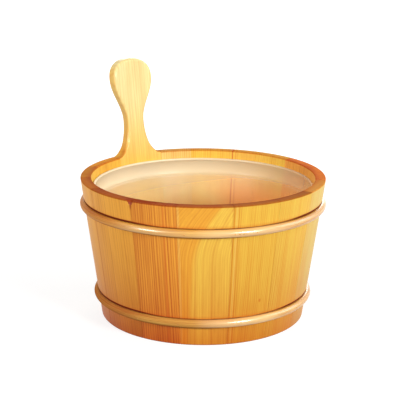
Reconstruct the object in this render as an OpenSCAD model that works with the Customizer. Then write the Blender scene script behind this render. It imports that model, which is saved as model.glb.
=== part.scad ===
/* [Bucket] */
// Width across the outside of the staves at the top edge
rim_d = 260; // [236:1:290]
// Width across the outside of the staves at the foot
foot_d = 217.6; // [196:0.1:232]
// Height of the wall, from the floor to the top edge
wall_h = 150.4; // [135:0.1:185]
// Thickness of a stave, square to its face
stave_t = 11; // [10:0.5:14]
// Bevel along the top edge and the foot
edge_ease = 1; // [0.4:0.1:1.6]

/* [Stave joints] */
// Space left between one stave and the next
joint_gap = 0.1; // [0.05:0.05:0.3]
// How far the tongue stands out of the edge of a stave
tongue_w = 2.6; // [1.5:0.1:3.5]
// Thickness of the tongue
tongue_t = 3; // [2:0.1:4]
// Room around a tongue in its groove
tongue_gap = 0.15; // [0.1:0.05:0.4]

/* [Chip] */
// Width of the chip that is broken out of the top edge
chip_w = 8; // [4:0.5:12]
// How far the chip runs down the outer face
chip_h = 4.5; // [2:0.5:8]
// How far the chip bites into the top edge
chip_bite = 2.6; // [1:0.1:3.5]

/* [Handle] */
// Height of the handle above the top edge
handle_h = 107.6; // [95:0.1:130]
// Height of the narrow neck above the top edge
neck_h = 38; // [30:0.5:46]
// Width of the neck
neck_w = 23; // [20:0.5:30]
// Height of the widest part of the grip above the top edge
grip_h = 86; // [74:0.5:90]
// Width of the grip
grip_w = 52.6; // [40:0.2:55]
// Fullness of the top of the grip, where 2 is an ellipse
grip_fullness = 2.3; // [2:0.1:3]
// Rounding along the edges of the handle
handle_round = 3; // [1.5:0.1:4]

/* [Hoops] */
// Thickness of the cane that the hoops are bent from
hoop_d = 8.8; // [7:0.1:10]
// Depth of the cane in the face of the staves
hoop_bite = 4; // [3:0.1:5]
// Room around the cane in its groove
hoop_gap = 0.4; // [0.2:0.05:0.6]
// Height of the upper hoop above the floor
upper_hoop_z = 122.4; // [105:0.1:126]
// Height of the lower hoop above the floor
lower_hoop_z = 24.5; // [18:0.1:40]
// Length of the slanted joint where the two ends of a hoop meet
scarf_l = 26; // [16:1:32]
// Glue line of that joint
scarf_gap = 0.25; // [0.15:0.05:0.5]
// Place of the upper hoop's joint, in degrees round from the right side
upper_joint_at = 20; // [-40:1:200]
// Place of the lower hoop's joint, in degrees round from the right side
lower_joint_at = 5; // [-40:1:200]

/* [Bottom] */
// Height of the underside of the bottom boards above the floor
bottom_z = 9; // [7:0.5:16]
// Thickness of the bottom boards
board_t = 10; // [8:0.5:14]
// Thickness of the thinned edge that sits in the groove of the staves
board_edge_t = 5; // [4:0.5:7]
// Depth of the groove that holds the bottom
croze_depth = 3.5; // [2.5:0.5:4]
// Room around the edge of the bottom in its groove
croze_gap = 0.15; // [0.1:0.05:0.4]
// Space left between the bottom boards
board_gap = 0.15; // [0.1:0.05:0.4]
// Space between the full thickness of the boards and the face of the staves
board_rim_gap = 0.5; // [0.3:0.1:2]

/* [Liner] */
// Wall of the plastic liner
liner_t = 1.6; // [1.2:0.1:2.4]
// Distance of the liner's lip below the top edge
lip_drop = 8.5; // [5:0.5:16]
// Thickness of the rolled lip
lip_d = 3; // [2.6:0.1:4]
// Height of the collar that fits against the staves
collar_h = 17.5; // [12:0.5:26]
// Room between the collar and the staves
liner_gap = 0.3; // [0.1:0.05:0.8]
// How far the liner steps in below its collar
liner_step = 3; // [2:0.5:5]
// Extra slant of the liner from its step down to its floor
liner_taper = 2.5; // [1:0.5:6]
// Rounding between the liner's wall and its floor
liner_round = 14; // [8:1:20]

/* [Hidden] */
$fn = 120;

// Widths of the staves as shares of the round, the handle stave first, then on round by the left
stave_shares = [27.5, 22.4, 22.4, 22.4, 27.8, 22, 25, 22.5, 22, 23.8, 23.8, 23.8, 20.4, 13.7, 23.3, 17.2];
board_count = 4;
// The chip straddles the joint where this stave starts
chipped_stave = 5;
// Points along each stretch of the handle's outline, and layers in the rounding of its edges
outline_steps = 9;
round_steps = 3;
// Cuts and blanks run past the wood by this much, and lapped solids share this many degrees
past = 8;
lap = 1.5;

function total(list, n) = n == 0 ? 0 : list[n - 1] + total(list, n - 1);
function share_angle(share) = 360 * share / total(stave_shares, len(stave_shares));
function stave_angle(i) = share_angle(stave_shares[i]);
function stave_start(i) = 90 - stave_angle(0) / 2 + share_angle(total(stave_shares, i));
function degrees(length, r) = length / r * 180 / PI;

// The wall is a cone: its outer, inner and middle radius at a height
lean = (rim_d - foot_d) / 2 / wall_h;
lean_angle = atan(lean);
wall_across = stave_t / cos(lean_angle);
function outer_r(z) = foot_d / 2 + lean * z;
function inner_r(z) = outer_r(z) - wall_across;
function middle_r(z) = outer_r(z) - wall_across / 2;

// Seat of a hoop: the middle of the cane beside the face of the staves
function hoop_r(z) = outer_r(z) + (hoop_d / 2 - hoop_bite) / cos(lean_angle);

// Heights that the bottom, its groove and the liner share
board_edge_z = bottom_z + (board_t - board_edge_t) / 2;
croze_z = board_edge_z - croze_gap;
croze_w = board_edge_t + 2 * croze_gap;
croze_r = inner_r(croze_z) + croze_depth;
board_r = croze_r - croze_gap;
board_top = bottom_z + board_t;
lip_z = wall_h - lip_drop;
collar_z = lip_z - collar_h;

// The rounding of the handle's edges turns this far, and its last part lies proud of the face, so that it
// meets the face at a slight angle
round_to = asin(0.96);
proud = 0.05 * handle_round;

// The bucket's own axis stands in front of the middle of the whole, as far as the handle reaches back
reach_back = outer_r(wall_h + handle_h - handle_round * (1 - cos(round_to)));
reach_front = max(rim_d / 2, hoop_r(upper_hoop_z) + hoop_d / 2);
axis_y = (reach_front - reach_back) / 2;

// Section of the wall of a stave up to a given height, with its grooves for the bottom and the hoops
module wall_section(top, ease_top) {
    difference() {
        polygon([
            [inner_r(0) + edge_ease, 0], [outer_r(0) - edge_ease, 0], [outer_r(edge_ease), edge_ease],
            [outer_r(top - ease_top), top - ease_top], [outer_r(top) - ease_top, top],
            [inner_r(top) + ease_top, top], [inner_r(top - ease_top), top - ease_top],
            [inner_r(edge_ease), edge_ease]
        ]);
        translate([croze_r - 3 * croze_depth, croze_z]) square([3 * croze_depth, croze_w]);
        for (z = [lower_hoop_z, upper_hoop_z])
            translate([hoop_r(z), z]) circle(r = hoop_d / 2 + hoop_gap);
    }
}

// Band along the middle of the wall, as thick as a tongue or its groove
module tongue_band(thick) {
    half = thick / 2 / cos(lean_angle);
    top = wall_h + past;
    polygon([
        [middle_r(-past) - half, -past], [middle_r(-past) + half, -past],
        [middle_r(top) + half, top], [middle_r(top) - half, top]
    ]);
}

// A stave: a slice of the turned wall, with a tongue along one edge and a groove in the other
module stave_slice(i, top, ease_top) {
    gap = degrees(joint_gap, middle_r(wall_h));
    start = stave_start(i) + gap / 2;
    width = stave_angle(i) - gap;
    tongue = degrees(tongue_w, middle_r(wall_h));
    groove = degrees(tongue_w + tongue_gap, middle_r(wall_h));
    difference() {
        intersection() {
            rotate_extrude() wall_section(top, ease_top);
            union() {
                rotate([0, 0, start]) rotate_extrude(angle = width)
                    translate([inner_r(0) - past, -2 * past])
                        square([outer_r(top) - inner_r(0) + 2 * past, top + 4 * past]);
                rotate([0, 0, start + width - lap]) rotate_extrude(angle = tongue + lap)
                    tongue_band(tongue_t);
            }
        }
        rotate([0, 0, start - lap]) rotate_extrude(angle = groove + lap)
            tongue_band(tongue_t + 2 * tongue_gap);
    }
}

// The chip's hollow: a cone that stands on its point just off the outer face and widens up past the top edge
module rim_chip() {
    top_r = (pow(chip_w / 2, 2) / chip_bite + chip_bite) / 2;
    widening = chip_bite / chip_h;
    rotate([0, 0, stave_start(chipped_stave)])
        translate([outer_r(wall_h) + (top_r - chip_bite) / cos(lean_angle), 0, wall_h])
            rotate([0, lean_angle, 0]) translate([0, 0, -top_r / widening])
                cylinder(h = top_r / widening + past, r1 = 0, r2 = top_r + past * widening);
}

module plain_stave(i) {
    translate([0, axis_y, 0]) stave_slice(i, wall_h, edge_ease);
}

module chipped(i) {
    difference() {
        plain_stave(i);
        translate([0, axis_y, 0]) rim_chip();
    }
}

// Half of the handle's outline from the root up to the top, as [half width, height] points: a
// quarter ellipse out of the top edge, a soft swell from the neck to the grip, and a full round top
root_w = middle_r(wall_h) * stave_angle(0) * PI / 360;
function root_point(t) =
    [root_w - (root_w - neck_w / 2) * sin(90 * t), neck_h * (1 - cos(90 * t))];
function swell_point(t) =
    [neck_w / 2 + (grip_w - neck_w) / 2 * (1 - cos(180 * t)) / 2, neck_h + (grip_h - neck_h) * t];
function top_point(t) =
    [grip_w / 2 * pow(max(0, cos(90 * t)), 2 / grip_fullness),
     grip_h + (handle_h - grip_h) * pow(sin(90 * t), 2 / grip_fullness)];
half_outline = concat(
    [[root_w + past, -wall_h - past], [root_w + past, 0]],
    [for (k = [0 : outline_steps - 1]) root_point(k / outline_steps)],
    [for (k = [0 : outline_steps - 1]) swell_point(k / outline_steps)],
    [for (k = [0 : outline_steps]) top_point(k / outline_steps)]
);
last = len(half_outline) - 1;

// Direction into the wood at a point of the outline
function unit(v) = v / norm(v);
function inward(k) =
    k == 0 ? [0, 0] : k <= 2 ? [0, -1] : k == last ? [0, -1] :
    let (along = unit(half_outline[k + 1] - half_outline[k - 1])) [-along[1], along[0]];
function inset_point(k, inset) = half_outline[k] + inset * inward(k);

// A point of the handle laid on the leaning wall: sideways, above the top edge, and out from the middle
function on_wall(side, up, out) =
    let (z = wall_h + up, r = middle_r(z), a = 90 - side / r * 180 / PI)
    [(r + out) * cos(a), (r + out) * sin(a), z];
function outline_ring(inset, out) = concat(
    [for (k = [0 : last]) let (p = inset_point(k, inset)) on_wall(p[0], p[1], out)],
    [for (k = [last - 1 : -1 : 0]) let (p = inset_point(k, inset)) on_wall(-p[0], p[1], out)]
);

// Layers through the thickness, as [inset, out]: the rounding, then straight out past the face
function round_layer(k) =
    let (a = round_to * k / round_steps)
    [handle_round * (1 - cos(a)), wall_across / 2 + proud - handle_round * (1 - sin(a))];
half_layers = concat(
    [for (k = [0 : round_steps]) round_layer(k)],
    [[round_layer(round_steps)[0], wall_across + past]]
);
layer_count = len(half_layers);
layers = concat(
    [for (k = [layer_count - 1 : -1 : 0]) [half_layers[k][0], -half_layers[k][1]]],
    half_layers
);

// The solid that shapes the handle: the outline lofted through its layers, closed by strips
module handle_loft() {
    ring = 2 * last + 1;
    rings = len(layers);
    points = [for (layer = layers) each outline_ring(layer[0], layer[1])];
    sides = [
        for (j = [0 : rings - 2]) for (k = [0 : ring - 1])
            let (a = j * ring + k, b = j * ring + (k + 1) % ring)
            each [[a, b, b + ring], [a, b + ring, a + ring]]
    ];
    function strips(base, flip) = [
        for (k = [0 : last - 1])
            let (a = base + k, b = base + k + 1, c = base + ring - 2 - k, d = base + ring - 1 - k)
            each (k == last - 1
                ? [flip ? [a, b, d] : [d, b, a]]
                : [flip ? [a, b, c] : [c, b, a], flip ? [a, c, d] : [d, c, a]])
    ];
    polyhedron(points, concat(sides, strips(0, false), strips((rings - 1) * ring, true)), convexity = 6);
}

// Ring of cane, cut through on a slant from its outer side to its inner side where its ends meet
module hoop(z, joint_at) {
    r = hoop_r(z);
    half = degrees(scarf_l / 2, r);
    slant = atan(hoop_d * cos(half) / (2 * r * sin(half)));
    translate([0, axis_y, z]) difference() {
        rotate_extrude() translate([r, 0]) circle(d = hoop_d);
        rotate([0, 0, joint_at]) translate([r * cos(half), -hoop_d / 2 * sin(half), 0])
            rotate([0, 0, slant])
                cube([scarf_gap, norm([scarf_l, hoop_d]) + hoop_d, 2 * hoop_d], center = true);
    }
}

// Bottom disc with its edge thinned on both sides to sit in the groove
module bottom_disc() {
    thin = (board_t - board_edge_t) / 2;
    full_r = inner_r(bottom_z) - board_rim_gap;
    rotate_extrude() polygon([
        [0, bottom_z], [full_r - thin, bottom_z], [full_r, board_edge_z], [board_r, board_edge_z],
        [board_r, board_edge_z + board_edge_t], [full_r, board_edge_z + board_edge_t],
        [full_r - thin, board_top], [0, board_top]
    ]);
}

// One board of the bottom, with a tongue towards the next one and a groove for the last one's
module board(i) {
    width = 2 * board_r / board_count;
    low = -board_r + i * width + (i == 0 ? -past : board_gap / 2);
    high = -board_r + (i + 1) * width + (i == board_count - 1 ? past : -board_gap / 2);
    middle = bottom_z + board_t / 2;
    translate([0, axis_y, 0]) intersection() {
        bottom_disc();
        difference() {
            union() {
                translate([-rim_d / 2, low, bottom_z - past])
                    cube([rim_d, high - low, board_t + 2 * past]);
                if (i < board_count - 1)
                    translate([-rim_d / 2, high - past, middle - tongue_t / 2])
                        cube([rim_d, past + tongue_w, tongue_t]);
            }
            if (i > 0)
                translate([-rim_d / 2, low - past, middle - tongue_t / 2 - tongue_gap])
                    cube([rim_d, past + tongue_w + tongue_gap, tongue_t + 2 * tongue_gap]);
        }
    }
}

// The liner: a cup with a rounded floor, a step out to a collar along the staves, and a rolled lip
step_rise = liner_step / 2;
cup_top = collar_z - step_rise;
cup_top_r = inner_r(cup_top) - liner_gap - liner_step;
cup_floor_r = inner_r(board_top) - liner_gap - liner_step - liner_taper;
cup_lean = (cup_top_r - cup_floor_r) / (cup_top - board_top);
cup_angle = atan(cup_lean);
lip_middle = lip_z - lip_d / 2;
function cup_r(z) = cup_floor_r + cup_lean * (z - board_top);
function collar_r(z) = inner_r(z) - liner_gap;
function arc(centre, r, from, to, steps) =
    [for (k = [0 : steps]) let (a = from + (to - from) * k / steps) centre + r * [cos(a), sin(a)]];

// One side of the wall from the middle of the floor up to the lip, a given thickness in from the outside
function liner_side(thick, round) =
    let (
        across = thick / cos(cup_angle), floor_z = board_top + thick, lift = thick / 2,
        centre = [cup_r(floor_z + round) - across - round / cos(cup_angle), floor_z + round]
    )
    concat(
        [[0, floor_z]],
        arc(centre, round, -90, -cup_angle, 8),
        [[cup_r(cup_top + lift) - across, cup_top + lift],
         [collar_r(collar_z + lift) - across, collar_z + lift],
         [collar_r(lip_middle) - across, lip_middle]]
    );

module liner_section() {
    inside = liner_side(liner_t, liner_round - liner_t);
    polygon(concat(
        liner_side(0, liner_round),
        [for (k = [len(inside) - 1 : -1 : 0]) inside[k]]
    ));
    translate([collar_r(lip_middle) - lip_d / 2, lip_middle]) circle(d = lip_d);
}

module handle_stave() {
    color([0.96, 0.80, 0.42]) translate([0, axis_y, 0]) intersection() {
        stave_slice(0, wall_h + handle_h + past, 0);
        handle_loft();
    }
}
module stave_01() { color([0.88, 0.62, 0.32]) plain_stave(1); }
module stave_02() { color([0.91, 0.66, 0.34]) plain_stave(2); }
module stave_03() { color([0.84, 0.58, 0.30]) plain_stave(3); }
module stave_04() { color([0.85, 0.60, 0.31]) chipped(chipped_stave - 1); }
module stave_05() { color([0.86, 0.55, 0.24]) chipped(chipped_stave); }
module stave_06() { color([0.93, 0.68, 0.32]) plain_stave(6); }
module stave_07() { color([0.95, 0.72, 0.34]) plain_stave(7); }
module stave_08() { color([0.94, 0.70, 0.33]) plain_stave(8); }
module stave_09() { color([0.90, 0.65, 0.33]) plain_stave(9); }
module stave_10() { color([0.87, 0.60, 0.30]) plain_stave(10); }
module stave_11() { color([0.92, 0.67, 0.34]) plain_stave(11); }
module stave_12() { color([0.86, 0.58, 0.28]) plain_stave(12); }
module stave_13() { color([0.93, 0.72, 0.36]) plain_stave(13); }
module stave_14() { color([0.95, 0.75, 0.38]) plain_stave(14); }
module stave_15() { color([0.92, 0.70, 0.36]) plain_stave(15); }
module upper_hoop() { color([0.95, 0.80, 0.62]) hoop(upper_hoop_z, upper_joint_at); }
module lower_hoop() { color([0.94, 0.78, 0.58]) hoop(lower_hoop_z, lower_joint_at); }
module bottom_board_1() { color([0.90, 0.68, 0.38]) board(0); }
module bottom_board_2() { color([0.88, 0.65, 0.36]) board(1); }
module bottom_board_3() { color([0.91, 0.70, 0.40]) board(2); }
module bottom_board_4() { color([0.87, 0.64, 0.35]) board(3); }
module liner() {
    color([0.97, 0.88, 0.76, 0.5]) translate([0, axis_y, 0]) rotate_extrude() liner_section();
}

handle_stave();
stave_01();
stave_02();
stave_03();
stave_04();
stave_05();
stave_06();
stave_07();
stave_08();
stave_09();
stave_10();
stave_11();
stave_12();
stave_13();
stave_14();
stave_15();
upper_hoop();
lower_hoop();
bottom_board_1();
bottom_board_2();
bottom_board_3();
bottom_board_4();
liner();
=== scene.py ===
import math

import bmesh
import bpy
import numpy as np
from mathutils import Matrix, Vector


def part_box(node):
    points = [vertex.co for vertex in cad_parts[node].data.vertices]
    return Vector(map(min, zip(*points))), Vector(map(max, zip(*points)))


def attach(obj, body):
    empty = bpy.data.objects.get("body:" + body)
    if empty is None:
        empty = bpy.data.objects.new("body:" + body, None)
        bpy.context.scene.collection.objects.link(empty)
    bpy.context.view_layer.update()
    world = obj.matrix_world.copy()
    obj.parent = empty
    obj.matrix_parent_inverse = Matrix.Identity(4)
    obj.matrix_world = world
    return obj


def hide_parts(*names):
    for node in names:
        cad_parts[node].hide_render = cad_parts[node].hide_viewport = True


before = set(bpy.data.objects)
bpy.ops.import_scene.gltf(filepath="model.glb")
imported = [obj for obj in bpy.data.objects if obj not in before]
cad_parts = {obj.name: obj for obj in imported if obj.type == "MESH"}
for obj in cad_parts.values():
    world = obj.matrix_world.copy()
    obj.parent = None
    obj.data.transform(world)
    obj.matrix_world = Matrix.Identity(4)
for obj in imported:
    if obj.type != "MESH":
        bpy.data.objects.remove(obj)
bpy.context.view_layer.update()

MM = 0.001

# Wall of the bucket
RIM_R = 130 * MM
FOOT_R = 108.8 * MM
WALL_H = 150.4 * MM
STAVE_T = 11 * MM
EDGE_EASE = 1 * MM
ARRIS = 0.35 * MM
JOINT_GAP = 0.02 * MM
STAVE_SHARES = np.array(
    [27.5, 22.4, 22.4, 22.4, 27.8, 22, 25, 22.5, 22, 23.8, 23.8, 23.8, 20.4, 13.7, 23.3, 17.2]
)

# Chip broken out of the top edge, over the joint where this stave starts
CHIP_W = 8 * MM
CHIP_H = 4.5 * MM
CHIP_BITE = 2.6 * MM
CHIP_STAIN_H = 11 * MM
CHIP_STAIN_W = 0.9 * MM
CHIPPED_STAVE = 5

# Handle
HANDLE_H = 107.6 * MM
NECK_H = 38 * MM
NECK_W = 23 * MM
GRIP_H = 86 * MM
GRIP_W = 52.6 * MM
GRIP_FULLNESS = 2.3
HANDLE_ROUND = 3 * MM
ROUND_IN_BY = 12 * MM

# Hoops
HOOP_D = 8.8 * MM
HOOP_BITE = 4 * MM
HOOP_GAP = 0.4 * MM
SEAT_R = HOOP_D / 2 + HOOP_GAP
UPPER_HOOP_Z = 122.4 * MM
LOWER_HOOP_Z = 24.5 * MM
SCARF_L = 26 * MM
SCARF_GAP = 0.25 * MM
UPPER_JOINT_AT = 20
LOWER_JOINT_AT = 5

# Shares of a hoop's radius: the cane's mean, each wave of its swell, and where the brads' heads sit
CANE_MEAN = 0.99
CANE_SWELL = 0.003
BRAD_SEAT = 0.985

# Brads: their heads, and their places on the hoops in degrees to the right of the near side
BRAD_R = 0.8 * MM
BRAD_DOME = 0.36 * MM
BRAD_SUNK = 0.5 * MM
UPPER_BRADS = (-8, 14, 16, 18, 24, 143, 152)
LOWER_BRADS = (-34, -12, 57, 128, 137)

# Bottom and its groove
BOTTOM_Z = 9 * MM
BOARD_T = 10 * MM
BOARD_EDGE_T = 5 * MM
CROZE_DEPTH = 3.5 * MM
CROZE_GAP = 0.15 * MM
CROZE_Z = BOTTOM_Z + (BOARD_T - BOARD_EDGE_T) / 2 - CROZE_GAP
CROZE_TOP = CROZE_Z + BOARD_EDGE_T + 2 * CROZE_GAP

# Liner
LINER_T = 1.6 * MM
LIP_DROP = 8.5 * MM
LIP_D = 3 * MM
COLLAR_H = 17.5 * MM
LINER_GAP = 0.3 * MM
LINER_STEP = 3 * MM
LINER_TAPER = 2.5 * MM
LINER_ROUND = 14 * MM
LIP_TURN = 235

# The bucket's own axis stands in front of the origin, under the middle of the liner
liner_low, liner_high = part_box("liner")
AXIS_Y = (liner_low.y + liner_high.y) / 2

LEAN = (RIM_R - FOOT_R) / WALL_H
LEAN_ANGLE = math.atan(LEAN)
WALL_ACROSS = STAVE_T / math.cos(LEAN_ANGLE)
STAVE_ANGLES = 2 * math.pi * STAVE_SHARES / STAVE_SHARES.sum()
STAVE_STARTS = math.pi / 2 - STAVE_ANGLES[0] / 2 + np.concatenate([[0], np.cumsum(STAVE_ANGLES)[:-1]])
STAVE_MIDDLES = STAVE_STARTS + STAVE_ANGLES / 2

# The photograph was taken from this bearing round the bucket, 0 being straight ahead along +Y
CAMERA_BEARING = -37.75


def outer_r(z):
    return FOOT_R + LEAN * z


def inner_r(z):
    return outer_r(z) - WALL_ACROSS


def middle_r(z):
    return outer_r(z) - WALL_ACROSS / 2


def hoop_r(z):
    return outer_r(z) + (HOOP_D / 2 - HOOP_BITE) / math.cos(LEAN_ANGLE)


def around(r, angle, z):
    """Points at a radius, an angle and a height round the bucket's axis."""
    r, angle, z = np.broadcast_arrays(r, angle, z)
    return np.stack([r * np.cos(angle), AXIS_Y + r * np.sin(angle), z], axis=-1)


def seen_at(azimuth):
    """Angle round the axis of a place that is seen so many degrees to the right of the bucket's near side."""
    return math.radians(CAMERA_BEARING - 90 + azimuth)


def smooth(t):
    t = np.clip(t, 0, 1)
    return t * t * (3 - 2 * t)


def unit(v):
    return v / np.linalg.norm(v, axis=-1, keepdims=True)


# Meshes

def carried(name, points, closed=False, caps=(True, True), coordinates=None):
    """Mesh of a ring of points carried along a path: points[..., i, j] is point j of the ring at stop i.
    Quads join each stop to the next, and a closed ring's last point to its first, the path's too when it is
    closed. caps say whether the first and last rings are filled in. coordinates are stored on the points
    under their names."""
    points = points.reshape(-1, *points.shape[-3:])
    index = np.arange(points[..., 0].size).reshape(points.shape[:3])
    fills = [*(index[:, 0, ::-1] if caps[0] else ()), *(index[:, -1] if caps[1] else ())]
    if closed:
        index = np.concatenate([index, index[:, :1]], axis=1)
    index = np.concatenate([index, index[:, :, :1]], axis=2)
    quads = np.stack(
        [index[:, :-1, :-1], index[:, :-1, 1:], index[:, 1:, 1:], index[:, 1:, :-1]], axis=-1
    ).reshape(-1, 4)
    mesh = bpy.data.meshes.new(name)
    mesh.from_pydata(points.reshape(-1, 3), [], quads.tolist() + [ring.tolist() for ring in fills])
    for label, values in (coordinates or {}).items():
        layer = mesh.attributes.new(label, "FLOAT_VECTOR", "POINT")
        layer.data.foreach_set("vector", values.astype(np.float32).ravel())
    shape = bmesh.new()
    shape.from_mesh(mesh)
    bmesh.ops.remove_doubles(shape, verts=shape.verts, dist=2e-6)
    bmesh.ops.recalc_face_normals(shape, faces=shape.faces)
    shape.to_mesh(mesh)
    shape.free()
    mesh.polygons.foreach_set("use_smooth", np.ones(len(mesh.polygons), bool))
    piece = bpy.data.objects.new(name, mesh)
    bpy.context.scene.collection.objects.link(piece)
    return piece


def rounded(corners, reach, steps=7):
    """Straight stretches between corner points, each corner turned by a quadratic curve that leaves
    the stretches at its reach from the corner."""
    corners = np.array(corners)
    at = corners[1:-1]
    reach = np.array(reach)[:, None]
    start = at + unit(corners[:-2] - at) * reach
    end = at + unit(corners[2:] - at) * reach
    t = np.linspace(0, 1, steps)[:, None]
    curves = (1 - t) ** 2 * start[:, None] + 2 * t * (1 - t) * at[:, None] + t**2 * end[:, None]
    return np.concatenate([corners[:1], curves.reshape(-1, 2), corners[-1:]])


# Staves

def eased(z, top):
    """How far a face is rounded back at a height near the foot or the top edge, by a quarter circle."""
    short = np.clip(EDGE_EASE - np.minimum(z, top - z), 0, EDGE_EASE)
    return EDGE_EASE - np.sqrt(EDGE_EASE**2 - short**2)


def seat_depth(z, hoop_z):
    """Depth of a hoop's turned seat at a height, cut by a circle a little wider than the cane."""
    across = np.sqrt(np.clip(SEAT_R**2 - (z - hoop_z) ** 2, 0, None))
    depth = outer_r(z) - hoop_r(hoop_z) + across
    return np.where(np.abs(z - hoop_z) < SEAT_R, np.clip(depth, 0, None), 0)


def wall_heights(chipped=False):
    """Heights of the rows up a stave, close together at its eased ends, its hoop seats and its croze, and
    down the chip where it has a share of that."""
    turn = np.radians(np.linspace(0, 90, 6))
    hair = 0.01 * MM
    beside = 0.3 * MM
    end = np.concatenate([EDGE_EASE * (1 - np.cos(turn)), [EDGE_EASE + beside]])
    seat = SEAT_R * np.sin(np.radians(np.linspace(-90, 90, 19)))
    below = [-SEAT_R - beside, -SEAT_R - hair]
    above = [SEAT_R - hair, SEAT_R + hair, SEAT_R + beside]
    seat = np.concatenate([below, seat[1:-1], above])
    step = np.array([-beside, -hair, hair, beside])
    chip = WALL_H - np.linspace(EDGE_EASE, CHIP_STAIN_H, 24)[1:] if chipped else []
    return np.unique(np.concatenate([
        end, CROZE_Z + step, CROZE_TOP + step, LOWER_HOOP_Z + seat, UPPER_HOOP_Z + seat, chip, WALL_H - end
    ]))


def wall_rows(i, heights, trim=0):
    """Rows of a stave: half width, height, inward direction, rounding of the long edges, and the distances of
    the outer and inner face from the wall's middle."""
    ease = eased(heights, WALL_H) + trim
    half = WALL_ACROSS / 2
    in_croze = (heights > CROZE_Z) & (heights < CROZE_TOP)
    seats = seat_depth(heights, LOWER_HOOP_Z) + seat_depth(heights, UPPER_HOOP_Z)
    side = middle_r(heights) * STAVE_ANGLES[i] / 2 - JOINT_GAP / 2 - ease * ARRIS / EDGE_EASE
    outer = half - ease - seats
    inner = half - ease - CROZE_DEPTH * in_croze
    flat = np.ones_like(heights)
    return np.column_stack([side, heights, -flat, 0 * flat, ARRIS * flat, outer, inner])


def handle_rows():
    """Rows of the handle above the rim: a quarter ellipse out of the top edge, a cosine swell from the neck
    to the grip, and a superellipse over the top. The rounding of its edges grows as it leaves the rim."""
    t = np.linspace(0, 1, 29)
    turn = np.radians(90 * t)
    root_w = middle_r(WALL_H) * STAVE_ANGLES[0] / 2 - JOINT_GAP / 2
    root = np.stack([root_w - (root_w - NECK_W / 2) * np.sin(turn), NECK_H * (1 - np.cos(turn))], axis=1)
    swell = np.stack([
        NECK_W / 2 + (GRIP_W - NECK_W) / 2 * (1 - np.cos(2 * turn)) / 2, NECK_H + (GRIP_H - NECK_H) * t
    ], axis=1)
    power = 2 / GRIP_FULLNESS
    over = np.stack([
        GRIP_W / 2 * np.clip(np.cos(turn), 0, 1) ** power,
        GRIP_H + (HANDLE_H - GRIP_H) * np.sin(turn) ** power,
    ], axis=1)
    outline = np.concatenate([root[:-1], swell[:-1], over])
    outline[-1, 0] = 0
    along = unit(np.gradient(outline, axis=0))
    inward = np.stack([-along[:, 1], along[:, 0]], axis=1)
    inward[0] = inward[-1] = (0, -1)
    outline[0, 0] -= ARRIS
    corner = np.array([[root_w, -ARRIS]])
    corner_in = np.array([[-ARRIS, ARRIS / 4 - EDGE_EASE]]) / EDGE_EASE
    outline = np.concatenate([corner, outline])
    inward = np.concatenate([corner_in, inward])
    radius = EDGE_EASE + (HANDLE_ROUND - EDGE_EASE) * smooth(outline[:, 1] / ROUND_IN_BY)
    face = np.full(len(outline), WALL_ACROSS / 2)
    return np.column_stack([outline[:, 0], WALL_H + outline[:, 1], inward, radius, face, face])


def section_loop(columns=13):
    """The ring round a stave's section, as [share across, share of the rounding inwards, depth in roundings,
    outer side]. It goes over the outer face, round a long edge, back over the inner face and round the
    other long edge. Columns close to the edges keep the faces' shading flat."""
    shares = np.concatenate([[-1, -0.985], np.linspace(-0.92, 0.92, columns), [0.985, 1]])
    turn = np.radians(np.linspace(0, 90, 7))[1:]
    inset = np.concatenate([1 - np.sin(turn), [0]])
    depth = np.concatenate([1 - np.cos(turn), [1.3]])
    face = np.column_stack([shares, np.ones_like(shares), np.zeros_like(shares)])
    edge = np.column_stack([np.ones_like(inset), inset, depth])
    other_edge = edge * (-1, 1, 1)
    stretches = [
        (face, 1), (edge, 1), (edge[::-1], 0), (face[::-1], 0), (other_edge, 0), (other_edge[::-1], 1)
    ]
    return np.concatenate([np.column_stack([part, np.full(len(part), side)]) for part, side in stretches])


def on_wall(rows, middle, loop):
    """Rings of points on the leaning wall: each row's section loop, its width laid round the wall's middle
    radius and its depth laid outwards."""
    side, height, in_side, in_up, radius, front, back = (column[:, None] for column in rows.T)
    share, inset, depth, outer = loop.T
    z = height + radius * inset * in_up
    across = share * (side + radius * inset * in_side)
    out = np.where(outer > 0, front - radius * depth, radius * depth - back)
    return around(middle_r(z) + out, middle - across / middle_r(z), z)


def board_grain(points, middle):
    """Each point in its board's own directions: across it, through it and along it."""
    x, y = points[..., 0], points[..., 1] - AXIS_Y
    across = y * math.cos(middle) - x * math.sin(middle)
    radial = x * math.cos(middle) + y * math.sin(middle)
    lean_cos, lean_sin = math.cos(LEAN_ANGLE), math.sin(LEAN_ANGLE)
    through = (radial - middle_r(0)) * lean_cos - points[..., 2] * lean_sin
    along = radial * lean_sin + points[..., 2] * lean_cos
    return np.stack([across, through, along], axis=-1)


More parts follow.
